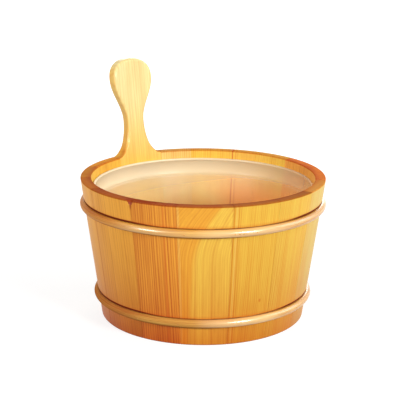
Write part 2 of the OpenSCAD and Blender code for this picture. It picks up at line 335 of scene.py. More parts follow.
def chip_out(points):
    """The points with those inside the chip's hollow pushed back to its face, how far each went, and the
    stain that fades away down the joint under it. The hollow is a cone on its point just off the outer
    face. At each height it is a circle, and a point goes back to where that circle reaches into the wall."""
    top_r = (CHIP_W**2 / 4 / CHIP_BITE + CHIP_BITE) / 2
    angle = STAVE_STARTS[CHIPPED_STAVE]
    x, y, z = points[..., 0], points[..., 1] - AXIS_Y, points[..., 2]
    aside = y * math.cos(angle) - x * math.sin(angle)
    out = x * math.cos(angle) + y * math.sin(angle)
    circle_r = top_r - (WALL_H - z) / math.cos(LEAN_ANGLE) * CHIP_BITE / CHIP_H
    centre = outer_r(z) + (top_r - CHIP_BITE) / math.cos(LEAN_ANGLE)
    reach = np.sqrt(np.clip(circle_r**2 - aside**2, 0, None)) / math.cos(LEAN_ANGLE)
    hollow = (circle_r > np.abs(aside)) & (out > 0)
    pushed = np.where(hollow, np.clip(out - (centre - reach), 0, None), 0)
    away = pushed[..., None] * [math.cos(angle), math.sin(angle), 0]
    fade = smooth((z - WALL_H + CHIP_STAIN_H) / (CHIP_STAIN_H - CHIP_H))
    stain = np.exp(-((aside / CHIP_STAIN_W) ** 2)) * fade
    return points - away, pushed, stain * (out > 0)


def stave(i):
    """One stave with flat ends. The handle stave has no flat top: its rows go on up the handle."""
    chipped = i in (CHIPPED_STAVE - 1, CHIPPED_STAVE)
    heights = wall_heights(chipped)
    ends_in = 0.25 * MM
    foot = wall_rows(i, heights[:1], ends_in)
    if i:
        name = f"stave_{i:02d}"
        rows = np.concatenate([foot, wall_rows(i, heights), wall_rows(i, heights[-1:], ends_in)])
    else:
        name = "handle_stave"
        rows = np.concatenate([foot, wall_rows(0, heights[heights < WALL_H - 2 * EDGE_EASE]), handle_rows()])
    points = on_wall(rows, STAVE_MIDDLES[i], section_loop(61 if chipped else 13))
    grain = board_grain(points, STAVE_MIDDLES[i])
    wear = np.zeros_like(points)
    wear[..., 0] = middle_r(points[..., 2]) * STAVE_ANGLES[i] / 2 - np.abs(grain[..., 0])
    if chipped:
        points, wear[..., 1], wear[..., 2] = chip_out(points)
    piece = carried(name + "_wood", points, caps=(True, i > 0), coordinates={"grain": grain, "wear": wear})
    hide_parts(name)
    return piece


# Hoops and their brads

def cane_hoop(name, z, joint_at):
    """A ring of round cane that a slanted joint parts from its outer side to its inner side. The cane swells
    and thins very slightly along its length, as a sum of three waves."""
    r = hoop_r(z)
    turn = np.linspace(0, 2 * np.pi, 33)[:-1]
    along = np.linspace(0, 1, 289)[:, None]
    slant = SCARF_L / 2 * np.cos(turn) / r
    start = math.radians(joint_at) - slant + SCARF_GAP / 2 / r
    angle = start + along * (2 * np.pi - SCARF_GAP / r)
    waves = np.sin(7 * angle) + np.sin(11 * angle + 2) + np.sin(19 * angle + z * 90)
    radius = HOOP_D / 2 * (CANE_MEAN + CANE_SWELL * waves)
    points = around(r + radius * np.cos(turn), angle, z + radius * np.sin(turn))
    cane = np.stack(np.broadcast_arrays(radius * np.cos(turn), radius * np.sin(turn), r * angle), axis=-1)
    piece = carried(name + "_cane", points, coordinates={"cane": cane})
    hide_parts(name)
    return piece


def brads(name, z, azimuths):
    """Small domed heads on the outside of a hoop: a quarter ellipse turned round each brad's own axis, with
    its rim carried down into the cane."""
    rise = np.radians([0, 0, 25, 50, 72, 90])
    sunk = np.array([BRAD_SUNK, 0, 0, 0, 0, 0])
    ring = np.radians(np.arange(0, 360, 30))
    radius = BRAD_R * np.cos(rise)[:, None]
    seat = hoop_r(z) + HOOP_D / 2 * BRAD_SEAT + (BRAD_DOME * np.sin(rise) - sunk)[:, None]
    angles = np.array([seen_at(azimuth) for azimuth in azimuths])[:, None, None]
    aside = radius * np.cos(ring)
    up = np.broadcast_to(radius * np.sin(ring), (len(azimuths), *aside.shape))
    from_axis = np.stack([-np.sin(angles) * aside, np.cos(angles) * aside, up], axis=-1)
    return carried(name, around(seat, angles, z) + from_axis, caps=(True, False))


# Liner

def liner_piece():
    """A thin cup turned round the axis: rounded floor, slanted wall, a step out to the collar, a rolled lip,
    and the same way back down inside."""
    board_top = BOTTOM_Z + BOARD_T
    lip_z = WALL_H - LIP_DROP
    lip_middle = lip_z - LIP_D / 2
    collar_z = lip_z - COLLAR_H
    cup_top = collar_z - LINER_STEP / 2
    collar_r = inner_r(lip_middle) - LINER_GAP
    step_r = inner_r(collar_z) - LINER_GAP
    cup_top_r = inner_r(cup_top) - LINER_GAP - LINER_STEP
    floor_r = inner_r(board_top) - LINER_GAP - LINER_STEP - LINER_TAPER
    lift = LINER_T / 2
    lip_r = LIP_D / 2
    floor_bend = LINER_ROUND * 0.9
    step_bend = LINER_STEP / 3
    outside = rounded(
        [[0, board_top], [floor_r, board_top], [cup_top_r, cup_top], [step_r, collar_z],
         [collar_r, lip_middle]],
        [floor_bend, step_bend, step_bend],
    )
    inside = rounded(
        [[collar_r - LINER_T, lip_middle - lip_r], [step_r - LINER_T, collar_z + lift],
         [cup_top_r - LINER_T, cup_top + lift], [floor_r - LINER_T, board_top + LINER_T],
         [0, board_top + LINER_T]],
        [step_bend, step_bend, floor_bend - LINER_T],
    )
    turn = np.radians(np.linspace(0, LIP_TURN, 17))
    lip = np.column_stack([collar_r - lip_r + lip_r * np.cos(turn), lip_middle + lip_r * np.sin(turn)])
    profile = np.concatenate([outside[:-1], lip, inside])
    angle = np.linspace(0, 2 * np.pi, 145)[:-1, None]
    points = around(profile[:, 0], angle, profile[:, 1])
    skin = np.zeros_like(points)
    skin[:, len(outside) - 1:, 0] = 1
    piece = carried("liner_cup", points, closed=True, caps=(False, False), coordinates={"skin": skin})
    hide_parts("liner")
    return piece


# Colours

def colour(red, green, blue):
    """A colour given as it shows on a screen, 0 to 255, turned into linear light."""
    level = np.array([red, green, blue]) / 255
    linear = np.where(level < 0.04045, level / 12.92, ((level + 0.055) / 1.055) ** 2.4)
    return (*linear, 1.0)


# Pale wood
TAN = colour(246, 178, 66)
ORANGE = colour(242, 170, 60)
HONEY = colour(244, 198, 70)
GOLD = colour(242, 204, 82)
PALE = colour(240, 214, 120)
CREAM = colour(250, 236, 164)

# Dark wood of the rings, resin and a knot
TAN_LINE = colour(196, 118, 36)
ORANGE_LINE = colour(190, 92, 26)
AMBER_LINE = colour(206, 112, 32)
GOLD_LINE = colour(220, 138, 36)
RESIN = colour(204, 78, 20)
KNOT = colour(206, 96, 24)

# Painted shade and stain at the hoop seats, the chip, and painted light caught inside the bucket
SEAT_SHADOW = colour(104, 26, 2)
SEAT_STAIN_AND_SHADE = colour(196, 84, 18)
BROKEN = colour(150, 56, 6)
GLOW_YELLOW = colour(255, 222, 140)
GLOW_ORANGE = colour(255, 154, 50)

# Cane, plastic and brass
CANE_TAN = colour(222, 170, 76)
CANE_DEEP = colour(206, 146, 54)
CANE_FIBRE = colour(178, 98, 32)
CANE_HIGHLIGHT = colour(244, 208, 152)
CANE_UNDER_SHADE = colour(140, 66, 16)
MILK = colour(255, 242, 208)
MILK_DEEP = colour(254, 235, 192)
BRASS = colour(206, 150, 84)
TARNISHED = colour(160, 104, 52)

# Tints, which multiply the colour under them
DARK_END = (0.5, 0.24, 0.14)
# The pale end tint is partly the end grain's own tone and partly a painted reflection of the bright surround
# on the far staves' rim top
PALE_END = (0.9, 0.7, 0.56)
WARM_END = (0.93, 0.54, 0.34)
WARM_FOOT = (0.8, 0.46, 0.26)
DARK_FOOT = (0.56, 0.24, 0.06)
# The handle's edge faces get a deeper tone, partly their own edge grain and partly painted shade, as the left
# edge face lies in shade
HANDLE_SIDE = (0.9, 0.7, 0.4)
CANE_LEFT_SHADE = (0.82, 0.5, 0.42)
CANE_LOWER_SHADE = (0.72, 0.62, 0.84)

# Azimuths that a look is centred on, in degrees to the right of the near side
THIN_LINE_AT = 8
GLOW_AT = 130
CANE_LEFT_SHADE_AT = -66
CANE_HIGHLIGHT_AT = 20
CANE_LOWER_SHADE_AT = -45
CANE_UNDER_LIT_AT = 50
MILKY_AT = 235

# Heights between which a look comes in, from none at the first to all of it at the second
HANDLE_PALE_Z = (135 * MM, 225 * MM)
GLOW_Z = (136 * MM, 92 * MM)
GLOW_ORANGE_Z = (110 * MM, 84 * MM)
RIM_Z = (WALL_H - 1.5 * MM, WALL_H - 0.6 * MM)
BELOW_HANDLE_Z = (170 * MM, 160 * MM)
JOINT_Z = (155 * MM, 150 * MM)
LOWER_HOOP_ALONE_Z = (60 * MM, 40 * MM)
FOOT_Z = (WALL_H, 0.0)


# Shader nodes

def set_inputs(tree, made, inputs):
    """Sets a node's inputs to values, or links them to sockets."""
    for key, value in inputs.items():
        if isinstance(value, bpy.types.NodeSocket):
            tree.links.new(value, made.inputs[key])
        else:
            made.inputs[key].default_value = value


def node(tree, kind, inputs=None, **settings):
    """A new shader node with its settings and its inputs."""
    made = tree.nodes.new("ShaderNode" + kind)
    for name, value in settings.items():
        setattr(made, name, value)
    set_inputs(tree, made, inputs or {})
    return made


def maths(tree, operation, *values):
    return node(tree, "Math", dict(enumerate(values)), operation=operation).outputs[0]


def times(tree, first, *others):
    for other in others:
        first = maths(tree, "MULTIPLY", first, other)
    return first


def greatest(tree, first, *others):
    for other in others:
        first = maths(tree, "MAXIMUM", first, other)
    return first


def vectors(tree, operation, *values):
    made = node(tree, "VectorMath", dict(enumerate(values)), operation=operation)
    return made.outputs["Value" if operation in ("LENGTH", "DOT_PRODUCT") else "Vector"]


def scaled(tree, vector, factor):
    return node(tree, "VectorMath", {0: vector, "Scale": factor}, operation="SCALE").outputs["Vector"]


def parts(tree, vector):
    """The three numbers of a vector."""
    return node(tree, "SeparateXYZ", {0: vector}).outputs


def own_place(tree, label):
    """The coordinates that a piece's points carry under a label."""
    return node(tree, "Attribute", attribute_name=label).outputs["Vector"]


def object_place(tree):
    return node(tree, "TexCoord").outputs["Object"]


def facing(tree, azimuth):
    """How squarely a place round the bucket's axis faces an azimuth: the cosine of the angle between them."""
    flat = vectors(tree, "MULTIPLY", vectors(tree, "SUBTRACT", object_place(tree), (0, AXIS_Y, 0)), (1, 1, 0))
    towards = seen_at(azimuth)
    direction = (math.cos(towards), math.sin(towards), 0)
    return vectors(tree, "DOT_PRODUCT", vectors(tree, "NORMALIZE", flat), direction)


def between(tree, value, low, high):
    """0 up to low, 1 from high on, and a smooth step between. Where low is above high it falls instead."""
    inputs = {"Value": value, "From Min": low, "From Max": high}
    return node(tree, "MapRange", inputs, interpolation_type="SMOOTHSTEP").outputs[0]


def ramped(tree, value, low, high, at_low=0.0, at_high=1.0):
    """A straight ramp from what it is at low to what it is at high, and level beyond them."""
    inputs = {"Value": value, "From Min": low, "From Max": high, "To Min": at_low, "To Max": at_high}
    return node(tree, "MapRange", inputs).outputs[0]


def mixed(tree, factor, a, b, blend="MIX"):
    """Two colours mixed. The Mix node's sockets for colours are its inputs 6 and 7 and its output 2."""
    return node(tree, "Mix", {0: factor, 6: a, 7: b}, data_type="RGBA", blend_type=blend).outputs[2]


def tinted(tree, factor, base, tint):
    """A colour multiplied by a tint, as far as the factor says."""
    return mixed(tree, factor, base, (*tint[:3], 1.0), "MULTIPLY")


def noise(tree, place, stretch, detail=2.0, roughness=0.5):
    """Noise on a place as (value, colour), with so many cells to the metre along each axis."""
    vector = vectors(tree, "MULTIPLY", place, stretch)
    made = node(tree, "TexNoise", {"Vector": vector, "Scale": 1.0, "Detail": detail, "Roughness": roughness})
    return made.outputs[0], made.outputs[1]


def bumped(tree, height, strength, distance):
    return node(tree, "Bump", {"Strength": strength, "Distance": distance, "Height": height}).outputs[0]


def group(name, inputs, outputs):
    """An empty shader node group with named sockets, its input sockets and its output sockets."""
    tree = bpy.data.node_groups.new(name, "ShaderNodeTree")
    for label, kind, value in inputs:
        socket = tree.interface.new_socket(name=label, in_out="INPUT", socket_type="NodeSocket" + kind)
        if value is not None:
            socket.default_value = value
    for label in outputs:
        tree.interface.new_socket(name=label, in_out="OUTPUT", socket_type="NodeSocketFloat")
    return tree, tree.nodes.new("NodeGroupInput").outputs, tree.nodes.new("NodeGroupOutput").inputs


def surface(name):
    """A new material, its node tree and its Principled shader."""
    material = bpy.data.materials.new(name)
    material.use_nodes = True
    return material, material.node_tree, material.node_tree.nodes["Principled BSDF"]


# Pine

# Darkness of a year's ring at its start and end, and at shares of it between
RING_ENDS = 0.12
RING_STEPS = ((0.25, 0.0), (0.5, 0.2), (0.76, 1.0), (0.93, 0.95))


def pine_grain():
    """Growth rings, fibre, slow colour change and a knot, all worked out in the board's own directions.
    Rings lie round a pith line along the board, at steps that vary a little, and bend round the knot. Each
    starts pale and ends in a sharp dark line, which is darker in some years than in others."""
    tree, given, put = group(
        "Pine grain",
        [("Grain", "Vector", None), ("Seed", "Float", 0.0), ("Ring Width", "Float", 2.2 * MM),
         ("Pith", "Vector", (0.06, 0.0, 0.0)), ("Wander", "Float", 2 * MM),
         ("Knot", "Vector", (0.0, 0.0, -1.0)), ("Knot Size", "Float", 1 * MM)],
        ["Rings", "Fibre", "Streak", "Cloud", "Knot"],
    )
    shift = node(tree, "CombineXYZ", {"X": given["Seed"], "Z": given["Seed"]}).outputs[0]
    place = vectors(tree, "ADD", given["Grain"], shift)
    slow = vectors(tree, "SUBTRACT", noise(tree, place, (16, 16, 4))[1], (0.5, 0.5, 0.5))
    sway = scaled(tree, slow, given["Wander"])
    from_knot = vectors(tree, "SUBTRACT", given["Grain"], given["Knot"])
    from_knot = vectors(tree, "MULTIPLY", from_knot, (1, 0, 0.6))
    knot_away = maths(tree, "DIVIDE", vectors(tree, "LENGTH", from_knot), given["Knot Size"])
    bulge = scaled(tree, from_knot, maths(tree, "EXPONENT", times(tree, knot_away, -0.5)))
    bent = vectors(tree, "ADD", vectors(tree, "ADD", given["Grain"], sway), bulge)
    from_pith = vectors(tree, "MULTIPLY", vectors(tree, "SUBTRACT", bent, given["Pith"]), (1, 1, 0))
    count = maths(tree, "DIVIDE", vectors(tree, "LENGTH", from_pith), given["Ring Width"])
    years = node(tree, "CombineXYZ", {"X": times(tree, count, 0.35), "Y": given["Seed"]}).outputs[0]
    count = maths(tree, "ADD", count, times(tree, noise(tree, years, (1, 40, 1), 1.0)[0], 2.2))
    ring = node(tree, "ValToRGB", {"Fac": maths(tree, "FRACT", count)})
    stops = ring.color_ramp.elements
    for stop in (stops[0], stops[1]):
        stop.color = (RING_ENDS, RING_ENDS, RING_ENDS, 1)
    for position, level in RING_STEPS:
        stops.new(position).color = (level, level, level, 1)
    year = node(tree, "TexWhiteNoise", {"W": maths(tree, "FLOOR", count)}, noise_dimensions="1D")
    dark_years = maths(tree, "MULTIPLY_ADD", year.outputs["Value"], 0.7, 0.3)
    tree.links.new(times(tree, ring.outputs["Color"], dark_years), put["Rings"])
    tree.links.new(noise(tree, place, (1500, 1500, 35), 3.0, 0.65)[0], put["Fibre"])
    tree.links.new(noise(tree, place, (330, 330, 4))[0], put["Streak"])
    tree.links.new(noise(tree, place, (60, 60, 7), 2.0, 0.55)[0], put["Cloud"])
    tree.links.new(maths(tree, "SUBTRACT", 1.0, between(tree, knot_away, 0.55, 1.0)), put["Knot"])
    return tree


PINE_GRAIN = pine_grain()


def grain_lean(tree, along, border):
    """How far the grain and its border have leant across the board at a place along it: not at all up to the
    border's third number, and from there by the squared length times its fourth."""
    length = greatest(tree, maths(tree, "SUBTRACT", along, border[2] * MM), 0.0)
    return times(tree, length, length, border[3])


def past_border(tree, spot, lean, cloud, border):
    """0 on the near side of a wavering border down the board and 1 beyond it. Its first number is its place
    across the board at the foot, and its second is its slope."""
    edge = maths(tree, "MULTIPLY_ADD", spot[2], border[1], maths(tree, "ADD", lean, border[0] * MM))
    beyond = maths(tree, "SUBTRACT", spot[0], edge)
    beyond = maths(tree, "MULTIPLY_ADD", maths(tree, "SUBTRACT", cloud, 0.5), 5 * MM, beyond)
    return between(tree, beyond, -3.5 * MM, 3.5 * MM)


def ringed(tree, pattern, pale, late, rings, streaks):
    """Pale wood with the dark rings, slow clouds, streaks and fine fibre of the grain on it."""
    wood = mixed(tree, times(tree, pattern["Rings"], rings), pale, late)
    wood = mixed(tree, times(tree, between(tree, pattern["Cloud"], 0.35, 0.75), 0.25), wood, late)
    wood = mixed(tree, times(tree, between(tree, pattern["Streak"], 0.42, 0.66), streaks), wood, late)
    return tinted(tree, times(tree, between(tree, pattern["Fibre"], 0.3, 0.75), 0.25), wood, late)


def glowing(tree, wood, through, z):
    """Painted light on a stave's inner face: warm light caught inside the bucket, painted on more further
    down, yellow, and orange low down and on the right."""
    inside = times(tree, between(tree, through, -4 * MM, -5 * MM), between(tree, z, *GLOW_Z))
    right = between(tree, facing(tree, GLOW_AT), 0.55, 0.92)
    low = times(tree, between(tree, z, *GLOW_ORANGE_Z), 0.6)
    glow = mixed(tree, greatest(tree, right, low), GLOW_YELLOW, GLOW_ORANGE)
    strength = maths(tree, "MULTIPLY_ADD", right, 0.45, 0.45)
    return mixed(tree, times(tree, inside, strength), wood, glow)


def marked(tree, wood, spot, mark):
    """Wood with a soft line down one face, given as its place across the board at the foot, its slope, its
    half width, its strength, its colour, and 1 for the outer face or -1 for the inner one."""
    aside, slope, half_width, strength, tone, face = mark
    off = maths(tree, "SUBTRACT", spot[0], maths(tree, "MULTIPLY_ADD", spot[2], slope, aside * MM))
    line = between(tree, maths(tree, "ABSOLUTE", off), half_width * MM, half_width / 3 * MM)
    return mixed(tree, times(tree, line, between(tree, spot[1], 0.0, face * MM), strength), wood, tone)


def seat_shade_and_stain(tree, through, z):
    """Painted shade and stain at the hoop seats, as (black, stain): black is a painted shadow in the seat and
    in a line above the hoop, which is thinnest and faintest on the near side, and stain is an orange stain,
    partly painted shade, that fades out over a few millimetres above it."""
    in_seat = between(tree, through, STAVE_T / 2 - 0.1 * MM, STAVE_T / 2 - 0.5 * MM)
    outside = between(tree, through, 0.0, 0.3 * MM)
    sideways = between(tree, facing(tree, THIN_LINE_AT), 0.98, 0.7)
    line_top = maths(tree, "MULTIPLY_ADD", sideways, 1.4 * MM, 5.2 * MM)
    black = 0.0
    stain = 0.0
    for hoop_z in (LOWER_HOOP_Z, UPPER_HOOP_Z):
        away = maths(tree, "SUBTRACT", z, hoop_z)
        above = between(tree, away, 0.0, 1 * MM)
        near = between(tree, maths(tree, "ABSOLUTE", away), 6 * MM, 5.5 * MM)
        line = between(tree, maths(tree, "SUBTRACT", away, line_top), 0.4 * MM, -0.4 * MM)
        black = greatest(tree, black, times(tree, near, above, in_seat), times(tree, line, above))
        stain = greatest(tree, stain, times(tree, between(tree, away, 9 * MM, 4.6 * MM), above, 0.45))
    strength = maths(tree, "MULTIPLY_ADD", sideways, 0.6, 0.4)
    return times(tree, black, strength, outside), times(tree, stain, outside)


def pine(name, early, late, other=None, border=None, seed=0.0, rings=0.6, ring_w=2.2, pith=(60, 10),
         knot=(0, -1000), knot_size=1.0, end_tint=DARK_END, foot_tint=WARM_FOOT, side_tint=None, top=None,
         streaks=0.12, seams=(0.2, 0.2), marks=(), on_stave=True, coat=0.06, coat_roughness=0.3):
    """Lacquered pine, with lengths in millimetres. early and late are the colours of a ring's pale and dark
    wood, and other is the pale colour beyond a border, whose numbers past_border and grain_lean explain.
    pith and knot are places in the board's section and on its face. end_tint is for faces that look up or
    down, and foot_tint for wood towards the foot. top is the pale colour at the top of the handle, and
    side_tint is for the handle's edges. seams are the darkness of the two long edges, and marks holds rows
    that marked explains."""
    material, tree, shader = surface(name)
    coordinates = node(tree, "TexCoord").outputs
    if on_stave:
        place = own_place(tree, "grain")
    else:
        laid_flat = {"Vector": coordinates["Object"], "Rotation": (0, math.pi / 2, 0)}
        place = node(tree, "Mapping", laid_flat).outputs[0]
    spot = parts(tree, place)
    normal = parts(tree, coordinates["Normal"])
    z = parts(tree, coordinates["Object"])[2]

    lean = grain_lean(tree, spot[2], border) if border else 0.0
    straight = vectors(tree, "SUBTRACT", place, node(tree, "CombineXYZ", {"X": lean}).outputs[0])
    pattern = node(tree, "Group", {
        "Grain": straight, "Seed": seed, "Ring Width": ring_w * MM, "Pith": (pith[0] * MM, pith[1] * MM, 0),
        "Knot": (knot[0] * MM, 0, knot[1] * MM), "Knot Size": knot_size * MM,
    }, node_tree=PINE_GRAIN).outputs
    pale = early
    if border:
        pale = mixed(tree, past_border(tree, spot, lean, pattern["Cloud"], border), early, other)
    if top:
        pale = mixed(tree, between(tree, z, *HANDLE_PALE_Z), early, top)
    wood = ringed(tree, pattern, pale, late, rings, streaks)
    if side_tint:
        wood = tinted(tree, between(tree, maths(tree, "ABSOLUTE", normal[0]), 0.55, 0.95), wood, side_tint)
    if on_stave:
        # Painted light caught inside the bucket, on the staves' inner faces
        wood = glowing(tree, wood, spot[1], z)
    for mark in marks:
        wood = marked(tree, wood, spot, mark)

    end_wood = between(tree, maths(tree, "ABSOLUTE", normal[2]), 0.3, 0.7)
    if not side_tint:
        end_wood = greatest(tree, end_wood, between(tree, z, *RIM_Z))
    end_wood = times(tree, end_wood, between(tree, z, *BELOW_HANDLE_Z))
    wood = tinted(tree, end_wood, wood, end_tint)
    inner_edge = times(tree, end_wood, between(tree, spot[1], 1 * MM, -6 * MM))
    wood = tinted(tree, times(tree, inner_edge, 0.45), wood, late)
    foot = maths(tree, "POWER", ramped(tree, z, *FOOT_Z), 2.2)
    wood = tinted(tree, foot, wood, foot_tint)

    seat_shadow = 0.0
    if on_stave:
        wear = parts(tree, own_place(tree, "wear"))
        joint = times(tree, between(tree, wear[0], 0.6 * MM, 0.2 * MM), between(tree, z, *JOINT_Z))
        darkness = ramped(tree, spot[0], -1 * MM, 1 * MM, *seams)
        wood = tinted(tree, times(tree, joint, darkness), wood, late)
        # Painted shadow in the hoop seats and along a line above each hoop, and an orange stain above it that
        # is partly painted shade
        seat_shadow, stain = seat_shade_and_stain(tree, spot[1], z)
        wood = mixed(tree, stain, wood, SEAT_STAIN_AND_SHADE)
        wood = mixed(tree, times(tree, seat_shadow, 0.97), wood, SEAT_SHADOW)
        broken = greatest(tree, between(tree, wear[1], 0.02 * MM, 0.25 * MM), wear[2])
        wood = mixed(tree, broken, wood, BROKEN)
    wood = mixed(tree, times(tree, pattern["Knot"], 0.6), wood, KNOT)

    bare = greatest(tree, end_wood, seat_shadow)
    roughness = maths(tree, "MULTIPLY_ADD", pattern["Fibre"], 0.18, 0.38)
    roughness = maths(tree, "MULTIPLY_ADD", bare, 0.6, roughness)
    height = maths(tree, "MULTIPLY_ADD", pattern["Fibre"], 0.6, times(tree, pattern["Rings"], -0.4))
    set_inputs(tree, shader, {
        "Base Color": wood, "Roughness": roughness, "Normal": bumped(tree, height, 0.5, 0.12 * MM),
        "Coat Weight": times(tree, maths(tree, "SUBTRACT", 1.0, bare), coat),
        "Coat Roughness": coat_roughness, "Specular IOR Level": 0.2,
    })
    return material


# Other materials

def cane():
    """Smooth cane with fine lengthwise fibres and slow bands of a deeper tan along it. Painted shade makes it
    redder on the left, a painted highlight makes it paler a little right of the middle, painted shade dulls
    the lower hoop from the left to the middle, and painted shade darkens it underneath except on the right."""
    material, tree, shader = surface("cane")
    place = own_place(tree, "cane")
    z = parts(tree, object_place(tree))[2]
    fibre = noise(tree, place, (1400, 1400, 18), 3.0, 0.6)[0]
    band = noise(tree, place, (160, 160, 9))[0]
    left_shade = between(tree, facing(tree, CANE_LEFT_SHADE_AT), 0.8, 0.97)
    painted_highlight = between(tree, facing(tree, CANE_HIGHLIGHT_AT), 0.9, 0.98)
    dull = between(tree, facing(tree, CANE_LOWER_SHADE_AT), 0.48, 0.78)
    dull = times(tree, between(tree, z, *LOWER_HOOP_ALONE_Z), dull)
    # Painted shade under the cane, left out on the right where the side lamp lights it
    away_from_side_lamp = maths(tree, "SUBTRACT", 1.0, between(tree, facing(tree, CANE_UNDER_LIT_AT), 0.7, 0.95))
    under = times(tree, between(tree, parts(tree, place)[1], -0.24 * HOOP_D, -0.42 * HOOP_D), away_from_side_lamp)
    tan = mixed(tree, between(tree, band, 0.35, 0.7), CANE_TAN, CANE_DEEP)
    tan = mixed(tree, times(tree, between(tree, fibre, 0.42, 0.62), 0.6), tan, CANE_FIBRE)
    # Painted shade: the cane is tinted redder and darker on the left, where less light falls
    tan = tinted(tree, times(tree, left_shade, 0.6), tan, CANE_LEFT_SHADE)
    # Painted highlight: paler cane a little right of the middle, where the key lamp's highlight lies
    tan = mixed(tree, times(tree, painted_highlight, 0.35), tan, CANE_HIGHLIGHT)
    # Painted shade: the lower hoop is darker from the left to the middle, and there it is also rougher and
    # has no coat
    tan = tinted(tree, times(tree, dull, 0.6), tan, CANE_LOWER_SHADE)
    tan = mixed(tree, times(tree, under, 0.55), tan, CANE_UNDER_SHADE)
    bare = greatest(tree, under, dull)
    roughness = maths(tree, "MULTIPLY_ADD", bare, 0.4, maths(tree, "MULTIPLY_ADD", fibre, 0.1, 0.45))
    set_inputs(tree, shader, {
        "Base Color": tan, "Roughness": roughness, "Normal": bumped(tree, fibre, 0.2, 0.1 * MM),
        "Coat Weight": maths(tree, "SUBTRACT", 1.0, greatest(tree, bare, left_shade)),
        "Coat Roughness": 0.26, "Coat IOR": 1.8, "Specular IOR Level": 0.2,
    })
    return material


def brad_metal():
    """Brass gone dull and brown in patches."""
    material, tree, shader = surface("brad_metal")
    tarnish = noise(tree, object_place(tree), (900, 900, 900), 3.0)[0]
    set_inputs(tree, shader, {
        "Base Color": mixed(tree, between(tree, tarnish, 0.4, 0.65), BRASS, TARNISHED),
        "Metallic": 1.0, "Roughness": maths(tree, "MULTIPLY_ADD", tarnish, 0.3, 0.3),
    })
    return material


def milky_plastic():
    """Thin milky plastic that the wood shows through, with a faint moulded unevenness. It covers more towards
    the top, at the collar and on the left of the far side, and only its inner skin does so. The extra cover
    towards the top and on the left of the far side is painted light, where the inside is lit."""
    material, tree, shader = surface("milky_plastic")
    place = object_place(tree)
    z = parts(tree, place)[2]
    cloud = noise(tree, place, (22, 22, 22))[0]
    ripple = noise(tree, place, (140, 140, 60))[0]
    collar_z = WALL_H - LIP_DROP - COLLAR_H
    collar = between(tree, z, collar_z - LINER_STEP, collar_z + LINER_STEP)
    # Painted shade: the milk covers less further down, where the inside lies in shade
    upper = maths(tree, "POWER", ramped(tree, z, 40 * MM, collar_z), 2.5)
    cover = maths(tree, "MULTIPLY_ADD", upper, 0.28, 0.02)
    cover = maths(tree, "MULTIPLY_ADD", collar, 0.28, cover)
    # Painted light: the milk covers more on the left of the far side, which is lit and catches the lamps'
    # reflection
    side = ramped(tree, facing(tree, MILKY_AT), -1.0, 1.0, 0.25, 1.5)
    inner = maths(tree, "MULTIPLY_ADD", parts(tree, own_place(tree, "skin"))[0], 0.96, 0.04)
    set_inputs(tree, shader, {
        "Base Color": mixed(tree, cloud, MILK, MILK_DEEP),
        "Roughness": maths(tree, "MULTIPLY_ADD", cloud, 0.15, 0.25),
        "Normal": bumped(tree, ripple, 0.25, 0.3 * MM), "Alpha": times(tree, cover, side, inner),
    })
    return material


